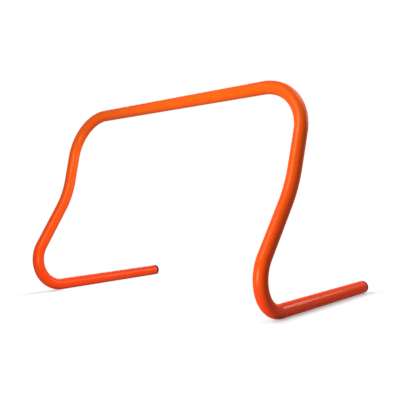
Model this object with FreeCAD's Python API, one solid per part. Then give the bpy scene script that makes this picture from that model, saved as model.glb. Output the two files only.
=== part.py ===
"""Speed hurdle: one bent plastic tube that stands on two long feet, with a push-in plug in each end."""
import FreeCAD, Part
import math
import os

# The crossbar lies along X, the feet run back along +Y and Z is up.
# The origin is on the floor, in the middle of the hurdle's box. Lengths are in millimetres.

# Bend table of the tube's centreline, measured between the points where its straight runs would meet.
overall_height = 300.0    # from the floor to the top of the crossbar
bar_span = 460.0          # across the two corner points at the ends of the crossbar
foot_span = 435.0         # across the centrelines of the feet: the legs close in towards the floor
knee_drop = 133.0         # from the crossbar's centreline down to the knee points
foot_run = 301.0          # from the toe point of a foot back to the tube's cut end
lower_leg_angle = 55.0    # degrees between the floor and the leg below the knee, seen from the side
upper_leg_angle = 75.0    # degrees between the floor and the leg above the knee, seen from the side
corner_bend_r = 65.0      # bend between the crossbar and a leg
knee_bend_r = 145.0       # slight bend half way up a leg
toe_bend_r = 43.0         # bend between a leg and its foot

# Tube
tube_d = 18.0
tube_wall = 1.8

# Push-in end plugs: a flange that covers the tube's end, and a hollow shank with fins that grip the bore
plug_rim = 4.4            # thickness of the flange at its rim
plug_crown = 0.6          # how far the middle of the flange bulges past its rim
plug_edge_r = 0.8         # rounding of the rim
plug_inset = 0.1          # how far the flange stays inside the tube's outside, all round
plug_shank = 14.0         # length of the shank
plug_shank_wall = 1.3
plug_fin_gap = 0.05       # between the fins and the bore
plug_fin_height = 0.6
plug_fin = 2.0            # length of a fin along the shank, at its root
plug_fin_land = 0.7       # length of a fin along the shank, at its crest
plug_fin_count = 4

tube_r = tube_d / 2
bore_r = tube_r - tube_wall
full_turn = 360.0
axis_x = FreeCAD.Vector(1, 0, 0)
axis_y = FreeCAD.Vector(0, 1, 0)
axis_z = FreeCAD.Vector(0, 0, 1)


def bend(before, corner, after, radius):
    """Start, middle, end and centre of the arc that rounds one corner of the centreline."""
    back = (before - corner).normalize()
    ahead = (after - corner).normalize()
    half_angle = back.getAngle(ahead) / 2
    reach = radius / math.tan(half_angle)
    inward = (back + ahead).normalize()
    centre = corner + inward * (radius / math.sin(half_angle))
    return corner + back * reach, centre - inward * radius, corner + ahead * reach, centre


def bent_path(corners, radii):
    """Wire of straight runs from corner to corner, joined by tangent arcs."""
    edges = []
    here = corners[0]
    for before, corner, after, radius in zip(corners, corners[1:], corners[2:], radii):
        start, middle, end, _ = bend(before, corner, after, radius)
        edges.append(Part.LineSegment(here, start).toShape())
        edges.append(Part.Arc(start, middle, end).toShape())
        here = end
    edges.append(Part.LineSegment(here, corners[-1]).toShape())
    return Part.Wire(edges)


def swept_round(path, radius):
    """Solid round bar of one radius along a path."""
    first = path.Edges[0]
    start = first.firstVertex().Point
    circle = Part.Circle(start, first.tangentAt(first.FirstParameter), radius)
    return path.makePipeShell([Part.Wire(circle.toShape())], True, False)


def leg_corners():
    """Corner points of the right leg, from the crossbar down to the tube's end, with the toe at y = 0."""
    bar_z = overall_height - tube_r
    knee_z = bar_z - knee_drop
    knee_y = (knee_z - tube_r) / math.tan(math.radians(lower_leg_angle))
    bar_y = knee_y + knee_drop / math.tan(math.radians(upper_leg_angle))
    bar_x = bar_span / 2
    foot_x = foot_span / 2
    knee_x = bar_x - (bar_x - foot_x) * knee_drop / (bar_z - tube_r)
    return [
        FreeCAD.Vector(bar_x, bar_y, bar_z),
        FreeCAD.Vector(knee_x, knee_y, knee_z),
        FreeCAD.Vector(foot_x, 0, tube_r),
        FreeCAD.Vector(foot_x, foot_run, tube_r),
    ]


def centred(corners):
    """The leg moved along Y, so that the hurdle's front and back are equally far from the origin."""
    *_, toe_centre = bend(corners[1], corners[2], corners[3], toe_bend_r)
    front = toe_centre.y - toe_bend_r - tube_r
    back = foot_run + plug_rim + plug_crown
    return [corner - axis_y * ((front + back) / 2) for corner in corners]


def mirrored(point):
    """The same point on the hurdle's left side."""
    return FreeCAD.Vector(-point.x, point.y, point.z)


def revolved(edges):
    """Solid of revolution about Z of a closed outline drawn in the XZ plane."""
    return Part.Face(Part.Wire(edges)).revolve(FreeCAD.Vector(), axis_z, full_turn)


def plug_flange():
    """Domed disc with a rounded rim, its flat side at z = 0."""
    flange_r = tube_r - plug_inset
    dome_r = (flange_r ** 2 + plug_crown ** 2) / (2 * plug_crown)
    dome_centre = axis_z * (plug_rim + plug_crown - dome_r)
    edge_x = flange_r - plug_edge_r
    edge_rise = math.sqrt((dome_r - plug_edge_r) ** 2 - edge_x ** 2)
    edge_centre = dome_centre + FreeCAD.Vector(edge_x, 0, edge_rise)
    outward = (edge_centre - dome_centre).normalize()
    middle = FreeCAD.Vector()
    seat = axis_x * flange_r
    rim = FreeCAD.Vector(flange_r, 0, edge_centre.z)
    edge_middle = edge_centre + (axis_x + outward).normalize() * plug_edge_r
    dome_start = dome_centre + outward * dome_r
    dome_middle = dome_centre + (outward + axis_z).normalize() * dome_r
    crown = axis_z * (plug_rim + plug_crown)
    return revolved([
        Part.LineSegment(middle, seat).toShape(),
        Part.LineSegment(seat, rim).toShape(),
        Part.Arc(rim, edge_middle, dome_start).toShape(),
        Part.Arc(dome_start, dome_middle, crown).toShape(),
        Part.LineSegment(crown, middle).toShape(),
    ])


def plug_shank_with_fins():
    """Hollow shank below z = 0 with saw-tooth fins that slope towards its open end."""
    fin_r = bore_r - plug_fin_gap
    shank_r = fin_r - plug_fin_height
    shank_bore_r = shank_r - plug_shank_wall
    pitch = plug_shank / plug_fin_count
    outline = [(shank_bore_r, 0), (shank_r, 0)]
    for number in range(1, plug_fin_count + 1):
        bottom = -number * pitch
        top = bottom + plug_fin
        outline += [(shank_r, top), (fin_r, top), (fin_r, top - plug_fin_land), (shank_r, bottom)]
    outline += [(shank_bore_r, -plug_shank), (shank_bore_r, 0)]
    return revolved(Part.makePolygon([FreeCAD.Vector(x, 0, z) for x, z in outline]).Edges)


def end_plug(tube_end):
    """Plug pushed into a tube end that opens towards +Y, with its flange against the cut."""
    plug = plug_flange().fuse(plug_shank_with_fins()).removeSplitter()
    plug.Placement = FreeCAD.Placement(tube_end, FreeCAD.Rotation(axis_z, axis_y))
    return plug


right_leg = centred(leg_corners())
left_leg = [mirrored(corner) for corner in right_leg]
leg_bends = [corner_bend_r, knee_bend_r, toe_bend_r]
centreline = bent_path(left_leg[::-1] + right_leg, leg_bends[::-1] + leg_bends)
tube = swept_round(centreline, tube_r).cut(swept_round(centreline, bore_r))

nodes = {
    "hurdle_tube": tube,
    "left_end_plug": end_plug(left_leg[-1]),
    "right_end_plug": end_plug(right_leg[-1]),
}
os.makedirs("parts", exist_ok=True)
for name, shape in nodes.items():
    shape.exportStep(f"parts/{name}.step")

section = math.pi * (tube_r ** 2 - bore_r ** 2)
print(f"tube length {centreline.Length:.1f} mm, volume {tube.Volume:.1f} mm3, "
      f"section times length {section * centreline.Length:.1f} mm3")
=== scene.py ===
import math

import bpy
import numpy as np
from mathutils import Matrix, Vector


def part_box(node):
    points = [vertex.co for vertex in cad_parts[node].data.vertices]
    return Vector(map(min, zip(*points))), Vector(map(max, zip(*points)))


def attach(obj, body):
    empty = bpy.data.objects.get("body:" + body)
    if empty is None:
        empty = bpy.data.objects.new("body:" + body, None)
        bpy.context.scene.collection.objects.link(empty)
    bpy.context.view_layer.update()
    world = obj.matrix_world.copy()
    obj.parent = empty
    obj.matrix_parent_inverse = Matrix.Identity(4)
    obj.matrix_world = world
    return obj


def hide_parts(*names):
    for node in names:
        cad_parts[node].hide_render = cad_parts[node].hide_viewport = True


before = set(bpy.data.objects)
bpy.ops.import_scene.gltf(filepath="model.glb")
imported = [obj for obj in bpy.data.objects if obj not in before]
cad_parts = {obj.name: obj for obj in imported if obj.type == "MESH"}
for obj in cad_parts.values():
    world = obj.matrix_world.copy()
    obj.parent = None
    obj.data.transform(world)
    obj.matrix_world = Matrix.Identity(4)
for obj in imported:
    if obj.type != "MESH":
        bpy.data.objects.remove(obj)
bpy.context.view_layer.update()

# Bend table of the tube's centreline, as in the part's source
overall_height = 0.300
bar_span = 0.460
foot_span = 0.435
knee_drop = 0.133
foot_run = 0.301
lower_leg_angle = math.radians(55.0)
upper_leg_angle = math.radians(75.0)
bend_radii = [0.065, 0.145, 0.043]       # corner, knee and toe
tube_r = 0.009
tube_wall = 0.0018
cut_edge_r = 0.0003                      # rounding that deburring leaves on the tube's cut ends

# End plugs, as in the part's source
plug_rim = 0.0044
plug_crown = 0.0006
plug_edge_r = 0.0008
plug_inset = 0.0001
plug_shank = 0.014
plug_shank_wall = 0.0013
plug_fin_gap = 0.00005
plug_fin_height = 0.0006
plug_fin = 0.002
plug_fin_land = 0.0007
plug_fin_count = 4

# Shallow round mark where the plastic was let into a plug's mould, in the scene alone
gate_r = 0.0014
gate_depth = 0.00025
gate_slope = 0.0003                      # width of its sloping side

# Resolution of the meshes
sides = 64                               # around the tube and the plugs
bend_step = math.radians(2.5)            # from ring to ring in a bend, about
run_step = 0.012                         # from ring to ring in a straight run, about
edge_steps = 4                           # over a rounded edge
dome_steps = 8                           # from a plug's gate mark to its rounded rim
cut_support = 0.0012                     # from the tube's cut back to the nearest ring before its rounding
crease_angle = math.radians(35.0)        # a plug's edges that turn by more are sharp

# Map of the tube for baked textures, in shares of the picture
map_strips = 5
map_margin = 0.006
map_scale = 3.0                          # shares per metre, along and around the outside
inner_band = (0.905, 0.994)              # lower and upper side of the band for the cut ends and the bore

# Colours, linear
top_orange_painted_light = (0.96, 0.118, 0.0035, 1.0)   # on the crossbar, with painted light: paler orange towards the top
low_orange_painted_shade = (0.94, 0.058, 0.0016, 1.0)   # on the feet, with painted shade: redder orange low down
streak_tint = (0.93, 0.84, 0.80, 1.0)
rubbed_orange = (0.88, 0.17, 0.06, 1.0)
gloss_tint = (1.0, 0.60, 0.32, 1.0)
plug_black = (0.010, 0.0095, 0.009, 1.0)
plug_grey = (0.022, 0.021, 0.020, 1.0)
white = (1.0, 1.0, 1.0, 1.0)
shadow_grey = (0.66, 0.66, 0.66, 1.0)       # of the floor where it shows a shadow
near_floor = (0.75, 0.75, 0.75, 1.0)        # for the light that the floor throws back, beside the feet
far_floor = (0.28, 0.28, 0.28, 1.0)         # and elsewhere

# Noises: stretch of the places, detail and roughness. A place on the tube is a point of the unit circle
# around the centreline, and the length along it in tube radii. A place on a plug is in metres.
mottle_noise = ((0.7, 0.7, 0.22), 3.0, 0.5)
streak_noise = ((7.0, 7.0, 0.05), 4.0, 0.6)
die_line_noise = ((22.0, 22.0, 0.02), 2.0, 0.5)
peel_noise = ((5.0, 5.0, 5.0), 2.0, 0.5)
grain_noise = ((40.0, 40.0, 40.0), 2.0, 0.5)
scratch_noise = ((60.0, 60.0, 1.1), 3.0, 0.7)
patch_noise = ((0.9, 0.9, 0.5), 2.0, 0.5)
plug_cloud_noise = ((260.0, 260.0, 260.0), 3.0, 0.5)
plug_grain_noise = ((5200.0, 5200.0, 5200.0), 2.0, 0.5)

# Ranges of the materials: from, to, and what these two become where that isn't 0 and 1
rub_height = (0.0022, 0.0)               # above the floor
rub_grain = (0.35, 0.65)
scratch_range = (0.68, 0.74)
patch_range = (0.52, 0.68)
# Painted light and shade: the orange runs from redder at the feet to paler at the crossbar
painted_light_height = (0.02, 0.29, -0.1, 0.9)
streak_range = (0.45, 0.75)
mottle_roughness = (0.3, 0.7, 0.27, 0.32)
grain_roughness = (0.3, 0.7, 0.0, 0.03)
tube_gloss = (0.12, 0.56, 0.36, 0.015)   # falls off as the surface turns away from the eye
plug_cloud_range = (0.3, 0.7)
plug_roughness = (0.3, 0.7, 0.45, 0.60)
plug_gloss = (0.12, 0.45, 0.30, 0.0)
facing_blend = 0.5

# Shares and heights of the materials
gradient_mottle = 0.2                        # share of the mottle in the painted light and shade gradient
rub_strength = 0.6
scratch_strength = 0.25
worn_roughness = 0.4
die_line_height = 0.0000015
peel_height = 0.000003
worn_height = 0.000006
plug_grain_height = 0.000020

# The floor shows the hurdle's shadow in a zone along the feet and is plain white elsewhere. Each pair says
# where the change begins and where it is complete.
floor_reach = 6.0
shadow_glow = 0.42                       # light of the zone's own, which keeps the shadow from being black
zone_side = (0.014, 0.030)               # from a foot's centreline
zone_widening = 0.08                     # the sides move out by this share of the way back
zone_slant = 0.10                        # the front lies farther back by this share of the way to the right
zone_front = (-0.110, -0.145)
zone_back = (0.150, 0.175)
left_inner_side = (-0.2215, -0.2135)     # the zone ends early on the inner side of the left foot
left_inner_front = (-0.11, -0.08)        # and does so behind its toe
bounce_side = (0.022, 0.045)             # from a foot's centreline, for the light that the floor throws back
bounce_front = (-0.20, -0.26)

# Light. A softbox has a name, a place, a width and height, and a level.
world_fill = 0.05
lit_point = (0.0, -0.05, 0.15)           # the softboxes are turned to it
hurdle_lights = [
    ("key_low", (0.15, -0.40, 0.08), (0.12, 0.16), 0.74),
    ("key_high", (0.08, -0.40, 0.48), (0.26, 0.20), 0.62),
    ("top", (0.30, 0.24, 0.64), (0.30, 0.30), 0.50),
    ("back_right", (0.60, 0.95, 0.56), (0.40, 0.34), 0.33),
    ("left", (-0.88, 0.78, 0.62), (0.60, 0.40), 0.25),
]
floor_lights = [
    ("floor_light", (0.25, 2.2, 2.6), (1.20, 1.20), 0.62),
    ("floor_front", (-1.3, -1.8, 2.4), (0.7, 0.7), 0.62),
]

# Camera that was fitted to the photograph together with the bend table
camera_place = (0.5961, -0.6673, 0.1442)
camera_yaw = math.radians(40.754)
camera_pitch = math.radians(-0.001)
camera_roll = math.radians(-1.492)
camera_lens = 51.88
camera_sensor = 36.0


# Meshes


def half_centreline(corners, radii):
    """Points and directions of runs and tangent arcs, from the middle of the crossbar to the right end."""
    points, directions = [], []

    def add_run(start, end):
        direction = (end - start).normalized()
        count = max(1, round((end - start).length / run_step))
        for step in range(count):
            points.append(start.lerp(end, step / count))
            directions.append(direction)

    here = corners[0]
    for before, corner, after, radius in zip(corners, corners[1:], corners[2:], radii):
        into = (corner - before).normalized()
        out = (after - corner).normalized()
        turn = into.angle(out)
        reach = radius * math.tan(turn / 2)
        inward = (out - into * into.dot(out)).normalized()
        start = corner - into * reach
        centre = start + inward * radius
        add_run(here, start)
        count = round(turn / bend_step)
        for step in range(count):
            angle = turn * step / count
            points.append(centre - inward * (radius * math.cos(angle)) + into * (radius * math.sin(angle)))
            directions.append(into * math.cos(angle) + inward * math.sin(angle))
        here = corner + out * reach
    add_run(here, corners[-1])
    points.append(corners[-1])
    directions.append((corners[-1] - here).normalized())
    return points, directions


def tube_corners():
    """Corner points of the right half, from the middle of the crossbar to the cut end of the right foot."""
    end_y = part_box("hurdle_tube")[1].y
    toe_y = end_y - foot_run
    bar_z = overall_height - tube_r
    knee_z = bar_z - knee_drop
    knee_y = toe_y + (knee_z - tube_r) / math.tan(lower_leg_angle)
    bar_y = knee_y + knee_drop / math.tan(upper_leg_angle)
    knee_x = bar_span / 2 - (bar_span - foot_span) / 2 * knee_drop / (bar_z - tube_r)
    return [
        Vector((0, bar_y, bar_z)),
        Vector((bar_span / 2, bar_y, bar_z)),
        Vector((knee_x, knee_y, knee_z)),
        Vector((foot_span / 2, toe_y, tube_r)),
        Vector((foot_span / 2, end_y, tube_r)),
    ]


def half_rings():
    """Centre, cross directions, direction and length so far of each ring, carried along without twist."""
    points, directions = half_centreline(tube_corners(), bend_radii)
    up = Vector((0, 0, 1))
    along = 0.0
    rings = []
    for number, (point, direction) in enumerate(zip(points, directions)):
        if number:
            up = directions[number - 1].rotation_difference(direction) @ up
            along += (point - points[number - 1]).length
        rings.append((point, up.copy(), direction.cross(up), direction, along))
    return rings


def end_profile():
    """Steps back from the cut and radii over the tube's end: round outer edge, flat cut, round inner edge."""
    bore_r = tube_r - tube_wall
    turns = [math.pi / 2 * step / edge_steps for step in range(edge_steps + 1)]
    outer = [(cut_edge_r * (1 - math.sin(t)), tube_r - cut_edge_r * (1 - math.cos(t))) for t in turns]
    inner = [(cut_edge_r * (1 - math.sin(t)), bore_r + cut_edge_r * (1 - math.cos(t))) for t in turns]
    return outer, inner[::-1]


def bake_map(alongs, outside_count):
    """Map places of all face corners: the outside in strips, the cut ends and the bore in one band."""
    rows = np.arange(len(alongs))
    ends = np.stack([alongs, np.roll(alongs, -1)], axis=-1)
    outside = (rows < outside_count) | (rows >= len(alongs) - outside_count)
    share = (ends.mean(axis=1) - alongs.min()) / np.ptp(alongs)
    strip = np.minimum((share * map_strips).astype(int), map_strips - 1)
    starts = np.array([ends[outside & (strip == number)].min() for number in range(map_strips)])
    height = 2 * math.pi * tube_r * map_scale
    across = map_margin + (ends - starts[strip][:, None]) * map_scale
    low = map_margin + strip * (height + map_margin)
    high = low + height
    inner = np.nonzero(~outside)[0]
    steps = np.linspace(map_margin, 1 - map_margin, len(inner) + 1)
    across[inner] = np.stack([steps[:-1], steps[1:]], axis=-1)
    low[inner], high[inner] = inner_band
    turns = np.arange(sides + 1) / sides
    rise = high[:, None] - (high - low)[:, None] * turns
    first, second = np.broadcast_to(across.T[:, :, None], (2, len(rows), sides))
    here, ahead = rise[:, :-1], rise[:, 1:]
    return np.stack([first, here, first, ahead, second, ahead, second, here], axis=-1)


def tube_mesh():
    """Closed skin of the tube: outside, cut ends and bore, with a map and places for its material."""
    rings = half_rings()
    bore_r = tube_r - tube_wall
    outer_end, inner_end = end_profile()
    end_point, end_up, end_side, end_direction, length = rings[-1]
    half = [(ring, tube_r) for ring in rings[:-1]]
    for back, radius in [(cut_support, tube_r)] + outer_end + inner_end + [(cut_support, bore_r)]:
        ring = (end_point - end_direction * back, end_up, end_side, end_direction, length - back)
        half.append((ring, radius))
    half += [(ring, bore_r) for ring in rings[-2::-1]]

    turns = np.linspace(0, 2 * math.pi, sides, endpoint=False)
    cosines, sines = np.cos(turns), np.sin(turns)
    places, skins = [], []
    for (point, up, side, _, along), radius in half:
        places.append(np.array(point) + radius * (np.outer(cosines, up) + np.outer(sines, side)))
        skins.append(np.c_[cosines, sines, np.full(sides, along / tube_r)])
    # The outside's middle ring comes first and the bore's middle ring last, so neither is mirrored.
    mirror = np.array([-1.0, 1.0, 1.0])
    flip = np.array([1.0, 1.0, -1.0])
    places += [ring * mirror for ring in places[-2:0:-1]]
    skins += [ring * flip for ring in skins[-2:0:-1]]

    index = np.arange(len(places) * sides).reshape(-1, sides)
    after = np.roll(index, -1, axis=0)
    faces = np.stack([index, np.roll(index, -1, axis=1), np.roll(after, -1, axis=1), after], axis=-1)
    faces = faces.reshape(-1, 4)
    mesh = bpy.data.meshes.new("tube_skin")
    mesh.from_pydata(np.concatenate(places).tolist(), [], faces.tolist())
    mesh.polygons.foreach_set("use_smooth", np.ones(len(faces), bool))
    layer = mesh.attributes.new("skin", "FLOAT_VECTOR", "POINT")
    layer.data.foreach_set("vector", np.concatenate(skins).astype(np.float32).ravel())
    alongs = np.array([ring[0, 2] for ring in skins]) * tube_r
    mesh.uv_layers.new(name="OFBake").data.foreach_set("uv", bake_map(alongs, len(rings)).ravel())
    mesh.validate()
    return mesh


def plug_profile():
    """Radii and places along a plug's axis, from the flange's middle round to the bottom of the hollow."""
    flange_r = tube_r - plug_inset
    dome_r = (flange_r ** 2 + plug_crown ** 2) / (2 * plug_crown)
    dome_middle = plug_rim + plug_crown - dome_r
    edge_x = flange_r - plug_edge_r
    edge_rise = math.sqrt((dome_r - plug_edge_r) ** 2 - edge_x ** 2)
    edge_turn = math.atan2(edge_rise, edge_x)
    fin_r = tube_r - tube_wall - plug_fin_gap
    shank_r = fin_r - plug_fin_height
    hollow_r = shank_r - plug_shank_wall

    def dome(radius):
        return dome_middle + math.sqrt(dome_r ** 2 - radius ** 2)

    mark = dome(gate_r) - gate_depth
    profile = [(0, mark), (gate_r - gate_slope, mark)]
    dome_end = dome_r * math.cos(edge_turn)
    for step in range(dome_steps):
        radius = gate_r + (dome_end - gate_r) * step / dome_steps
        profile.append((radius, dome(radius)))
    for step in range(edge_steps + 1):
        turn = edge_turn * (1 - step / edge_steps)
        along = dome_middle + edge_rise + plug_edge_r * math.sin(turn)
        profile.append((edge_x + plug_edge_r * math.cos(turn), along))
    profile += [(flange_r, 0), (shank_r, 0)]
    for number in range(1, plug_fin_count + 1):
        bottom = -number * plug_shank / plug_fin_count
        top = bottom + plug_fin
        profile += [(shank_r, top), (fin_r, top), (fin_r, top - plug_fin_land), (shank_r, bottom)]
    return profile + [(hollow_r, -plug_shank), (hollow_r, 0), (0, 0)]


def plug_mesh(name, end):
    """Closed mesh of a plug, turned about the axis of the tube's end."""
    first, *round_points, last = plug_profile()
    turns = np.linspace(0, 2 * math.pi, sides, endpoint=False)
    places = [end + Vector((0, first[1], 0)), end + Vector((0, last[1], 0))]
    for radius, along in round_points:
        places += [end + Vector((radius * math.sin(t), along, radius * math.cos(t))) for t in turns]
    index = 2 + np.arange(len(round_points) * sides).reshape(-1, sides)
    beside = np.roll(index, -1, axis=1)
    faces = [(0, a, b) for a, b in zip(index[0].tolist(), beside[0].tolist())]
    faces += np.stack([index[:-1], index[1:], beside[1:], beside[:-1]], axis=-1).reshape(-1, 4).tolist()
    faces += [(1, b, a) for a, b in zip(index[-1].tolist(), beside[-1].tolist())]
    mesh = bpy.data.meshes.new(name)
    mesh.from_pydata(places, [], faces)
    mesh.polygons.foreach_set("use_smooth", np.ones(len(faces), bool))
    mesh.set_sharp_from_angle(angle=crease_angle)
    mesh.validate()
    return mesh


# Materials


def node(tree, kind, **values):
    """A new shader node with its settings and the values of its named inputs."""
    made = tree.nodes.new(kind)
    for name, value in values.items():
        if name in made.bl_rna.properties:
            setattr(made, name, value)
        else:
            made.inputs[name.replace("_", " ")].default_value = value
    return made


def new_material(name):
    """An empty material, its node tree and the surface of its output."""
    material = bpy.data.materials.new(name)
    material.use_nodes = True
    tree = material.node_tree
    tree.nodes.clear()
    return material, tree, node(tree, "ShaderNodeOutputMaterial").inputs["Surface"]


def plastic(name):
    """A material with a Principled shader, its node tree and the shader."""
    material, tree, surface = new_material(name)
    shader = node(tree, "ShaderNodeBsdfPrincipled")
    tree.links.new(shader.outputs["BSDF"], surface)
    return material, tree, shader


def scaled_noise(tree, source, scale, detail, roughness):
    """Noise over places that are stretched by a vector."""
    stretch = node(tree, "ShaderNodeVectorMath", operation="MULTIPLY")
    stretch.inputs[1].default_value = scale
    tree.links.new(source, stretch.inputs[0])
    noise = node(tree, "ShaderNodeTexNoise", Scale=1.0, Detail=detail, Roughness=roughness)
    tree.links.new(stretch.outputs["Vector"], noise.inputs["Vector"])
    return noise.outputs["Fac"]


def ramp(tree, source, low, high, to_low=0.0, to_high=1.0):
    """Source taken from one range to another, held at the ends."""
    made = node(tree, "ShaderNodeMapRange", From_Min=low, From_Max=high, To_Min=to_low, To_Max=to_high)
    tree.links.new(source, made.inputs["Value"])
    return made.outputs["Result"]


def math_node(tree, operation, first, second=0.0):
    """Math of one or two sockets, or of a socket and a number."""
    made = node(tree, "ShaderNodeMath", operation=operation)
    for socket, value in zip(made.inputs, (first, second)):
        if isinstance(value, (int, float)):
            socket.default_value = value
        else:
            tree.links.new(value, socket)
    return made.outputs["Value"]


def blended(tree, factor, first, second, blend_type="MIX"):
    """Colour between two colours, either of which may be a socket."""
    made = node(tree, "ShaderNodeMix", data_type="RGBA", blend_type=blend_type)
    tree.links.new(factor, made.inputs["Factor"])
    for socket, value in zip([s for s in made.inputs if s.type == "RGBA"], (first, second)):
        if isinstance(value, tuple):
            socket.default_value = value
        else:
            tree.links.new(value, socket)
    return [s for s in made.outputs if s.type == "RGBA"][0]


def mixed_shaders(tree, factor, first, second):
    """Shader between two shaders."""
    made = node(tree, "ShaderNodeMixShader")
    for socket, source in zip(made.inputs, (factor, first, second)):
        tree.links.new(source, socket)
    return made.outputs["Shader"]


def bumped(tree, height, distance, below=None):
    """Bump of a height over an earlier bump; the distance is the height of a full step."""
    made = node(tree, "ShaderNodeBump", Strength=1.0, Distance=distance)
    tree.links.new(height, made.inputs["Height"])
    if below is not None:
        tree.links.new(below, made.inputs["Normal"])
    return made.outputs["Normal"]


def add_gloss(tree, shader, gloss):
    """Gloss that changes as the surface turns away from the eye."""
    facing = node(tree, "ShaderNodeLayerWeight", Blend=facing_blend).outputs["Facing"]
    tree.links.new(ramp(tree, facing, *gloss), shader.inputs["Specular IOR Level"])


def tube_material():
    """Glossy extruded PVC with painted light and shade, paler upwards and redder low down; faint streaks and
    die lines, scratches and rubbed feet.
    """
    material, tree, shader = plastic("orange_pvc")
    skin = node(tree, "ShaderNodeAttribute", attribute_name="skin").outputs["Vector"]
    mottle = scaled_noise(tree, skin, *mottle_noise)
    streak = scaled_noise(tree, skin, *streak_noise)
    die_line = scaled_noise(tree, skin, *die_line_noise)
    peel = scaled_noise(tree, skin, *peel_noise)
    grain = scaled_noise(tree, skin, *grain_noise)
    scratch = scaled_noise(tree, skin, *scratch_noise)
    patch = scaled_noise(tree, skin, *patch_noise)

    place = node(tree, "ShaderNodeSeparateXYZ")
    tree.links.new(node(tree, "ShaderNodeTexCoord").outputs["Object"], place.inputs["Vector"])
    height = place.outputs["Z"]
    rub = math_node(tree, "MULTIPLY", ramp(tree, height, *rub_height), ramp(tree, grain, *rub_grain))
    rub = math_node(tree, "MULTIPLY", rub, rub_strength)
    scratched = ramp(tree, scratch, *scratch_range)
    scratched = math_node(tree, "MULTIPLY", scratched, ramp(tree, patch, *patch_range))
    scratched = math_node(tree, "MULTIPLY", scratched, scratch_strength)
    worn = math_node(tree, "MAXIMUM", rub, scratched)

    # Painted light and shade: redder low down, paler towards the crossbar, made uneven by the mottle
    uneven = math_node(tree, "MULTIPLY", mottle, gradient_mottle)
    painted_gradient = math_node(tree, "ADD", ramp(tree, height, *painted_light_height), uneven)
    colour = blended(tree, painted_gradient, low_orange_painted_shade, top_orange_painted_light)
    colour = blended(tree, ramp(tree, streak, *streak_range), colour, streak_tint, "MULTIPLY")
    tree.links.new(blended(tree, worn, colour, rubbed_orange), shader.inputs["Base Color"])

    rough = ramp(tree, mottle, *mottle_roughness)
    rough = math_node(tree, "ADD", rough, ramp(tree, grain, *grain_roughness))
    rough = math_node(tree, "ADD", rough, math_node(tree, "MULTIPLY", worn, worn_roughness))
    tree.links.new(rough, shader.inputs["Roughness"])
    add_gloss(tree, shader, tube_gloss)
    shader.inputs["Specular Tint"].default_value = gloss_tint

    normal = bumped(tree, die_line, die_line_height)
    normal = bumped(tree, peel, peel_height, normal)
    normal = bumped(tree, worn, worn_height, normal)
    tree.links.new(normal, shader.inputs["Normal"])
    return material


def plug_material():
    """Satin moulded polyethylene: fine spark-eroded grain and a slightly uneven black."""
    material, tree, shader = plastic("black_polyethylene")
    place = node(tree, "ShaderNodeTexCoord").outputs["Object"]
    cloud = scaled_noise(tree, place, *plug_cloud_noise)
    grain = scaled_noise(tree, place, *plug_grain_noise)
    colour = blended(tree, ramp(tree, cloud, *plug_cloud_range), plug_black, plug_grey)
    tree.links.new(colour, shader.inputs["Base Color"])
    tree.links.new(ramp(tree, cloud, *plug_roughness), shader.inputs["Roughness"])
    add_gloss(tree, shader, plug_gloss)
    tree.links.new(bumped(tree, grain, plug_grain_height), shader.inputs["Normal"])
    return material


def seen_directly(tree):
    """1 for rays that show the background: camera, gloss and see-through rays."""
    path = node(tree, "ShaderNodeLightPath")
    seen = math_node(tree, "MAXIMUM", path.outputs["Is Camera Ray"], path.outputs["Is Glossy Ray"])
    return math_node(tree, "MAXIMUM", seen, path.outputs["Is Transmission Ray"])


def outside_zone(tree, x, y, beside, front):
    """0 along the feet, where the floor shows the hurdle's shadow, and 1 where it is plain white."""
    slim = math_node(tree, "SUBTRACT", beside, math_node(tree, "MULTIPLY", y, zone_widening))
    ends = math_node(tree, "MAXIMUM", ramp(tree, front, *zone_front), ramp(tree, y, *zone_back))
    outside = math_node(tree, "MAXIMUM", ramp(tree, slim, *zone_side), ends)
    left = math_node(tree, "LESS_THAN", x, 0.0)
    inner = math_node(tree, "MULTIPLY", left, ramp(tree, x, *left_inner_side))
    inner = math_node(tree, "MULTIPLY", inner, ramp(tree, y, *left_inner_front))
    return math_node(tree, "MAXIMUM", outside, inner)


def floor_material():
    """White floor with the hurdle's shadow along the feet; away from them it throws back less light."""
    material, tree, surface = new_material("white_floor")
    place = node(tree, "ShaderNodeSeparateXYZ")
    tree.links.new(node(tree, "ShaderNodeTexCoord").outputs["Object"], place.inputs["Vector"])
    x, y = place.outputs["X"], place.outputs["Y"]
    across = math_node(tree, "SUBTRACT", math_node(tree, "ABSOLUTE", x), foot_span / 2)
    beside = math_node(tree, "ABSOLUTE", across)
    front = math_node(tree, "SUBTRACT", y, math_node(tree, "MULTIPLY", x, zone_slant))

    lit = node(tree, "ShaderNodeBsdfDiffuse", Color=shadow_grey)
    glow = node(tree, "ShaderNodeEmission", Color=white, Strength=shadow_glow)
    zone = node(tree, "ShaderNodeAddShader")
    tree.links.new(lit.outputs["BSDF"], zone.inputs[0])
    tree.links.new(glow.outputs["Emission"], zone.inputs[1])
    plain = node(tree, "ShaderNodeEmission", Color=white, Strength=1.0)
    outside = outside_zone(tree, x, y, beside, front)
    shown = mixed_shaders(tree, outside, zone.outputs["Shader"], plain.outputs["Emission"])

    far = math_node(tree, "MAXIMUM", ramp(tree, beside, *bounce_side), ramp(tree, front, *bounce_front))
    bounce = node(tree, "ShaderNodeBsdfDiffuse")
    tree.links.new(blended(tree, far, near_floor, far_floor), bounce.inputs["Color"])
    tree.links.new(mixed_shaders(tree, seen_directly(tree), bounce.outputs["BSDF"], shown), surface)
    return material


# Stage


def set_world():
    """White surroundings for rays that show them, and an even fill for the rest."""
    world = bpy.data.worlds.new("studio")
    bpy.context.scene.world = world
    world.use_nodes = True
    tree = world.node_tree
    tree.nodes.clear()
    output = node(tree, "ShaderNodeOutputWorld")
    fill = node(tree, "ShaderNodeBackground", Color=white, Strength=world_fill)
    plain = node(tree, "ShaderNodeBackground", Color=white, Strength=1.0)
    mix = mixed_shaders(tree, seen_directly(tree), fill.outputs["Background"], plain.outputs["Background"])
    tree.links.new(mix, output.inputs["Surface"])


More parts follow.
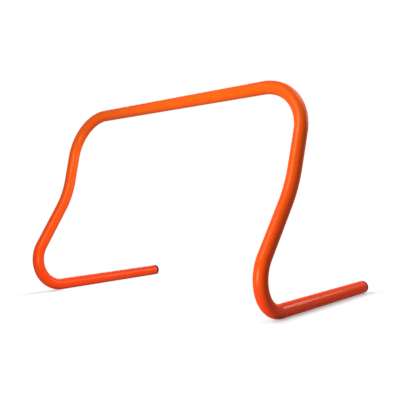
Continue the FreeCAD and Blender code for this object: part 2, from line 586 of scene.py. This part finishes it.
def add_floor():
    """Flat floor under the hurdle."""
    corners = [(x * floor_reach, y * floor_reach, 0) for x, y in ((-1, -1), (1, -1), (1, 1), (-1, 1))]
    mesh = bpy.data.meshes.new("floor")
    mesh.from_pydata(corners, [], [(0, 1, 2, 3)])
    mesh.materials.append(floor_material())
    floor = bpy.data.objects.new("floor", mesh)
    bpy.context.scene.collection.objects.link(floor)
    return floor


def add_softbox(name, place, size, level, pieces):
    """Soft light on some pieces. A white card at the lit point, facing the light, would reflect the level."""
    light = bpy.data.lights.new(name, "AREA")
    light.shape = "RECTANGLE"
    light.size, light.size_y = size
    way = Vector(lit_point) - Vector(place)
    light.energy = math.pi ** 2 * way.length_squared * level
    lamp = bpy.data.objects.new(name, light)
    lamp.matrix_world = Matrix.Translation(place) @ way.to_track_quat("-Z", "Y").to_matrix().to_4x4()
    lamp.visible_camera = False
    lamp.light_linking.receiver_collection = bpy.data.collections.new(name)
    for piece in pieces:
        lamp.light_linking.receiver_collection.objects.link(piece)
    bpy.context.scene.collection.objects.link(lamp)


def add_camera():
    """Camera at the photograph's place."""
    ahead = Vector((
        -math.sin(camera_yaw) * math.cos(camera_pitch),
        math.cos(camera_yaw) * math.cos(camera_pitch),
        math.sin(camera_pitch),
    ))
    level = Vector((math.cos(camera_yaw), math.sin(camera_yaw), 0))
    rise = level.cross(ahead)
    right = level * math.cos(camera_roll) + rise * math.sin(camera_roll)
    up = rise * math.cos(camera_roll) - level * math.sin(camera_roll)
    data = bpy.data.cameras.new("camera")
    data.lens = camera_lens
    data.sensor_width = camera_sensor
    camera = bpy.data.objects.new("camera", data)
    camera.matrix_world = Matrix.Translation(camera_place) @ Matrix((right, up, -ahead)).transposed().to_4x4()
    bpy.context.scene.collection.objects.link(camera)
    bpy.context.scene.camera = camera


def add_piece(mesh, material, cad_node):
    """Piece of the hurdle that takes the place of a CAD node, which it hides, and carries a material."""
    mesh.materials.append(material)
    piece = bpy.data.objects.new(mesh.name, mesh)
    bpy.context.scene.collection.objects.link(piece)
    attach(piece, "root")
    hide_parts(cad_node)
    return piece


hurdle = [add_piece(tube_mesh(), tube_material(), "hurdle_tube")]
black = plug_material()
right_end = tube_corners()[-1]
left_end = Vector((-right_end.x, right_end.y, right_end.z))
for side, end in (("left", left_end), ("right", right_end)):
    hurdle.append(add_piece(plug_mesh(f"{side}_plug", end), black, f"{side}_end_plug"))

set_world()
floor = add_floor()
for softbox in hurdle_lights:
    add_softbox(*softbox, hurdle)
for softbox in floor_lights:
    add_softbox(*softbox, [floor])
add_camera()
bpy.context.scene.view_settings.view_transform = "Standard"
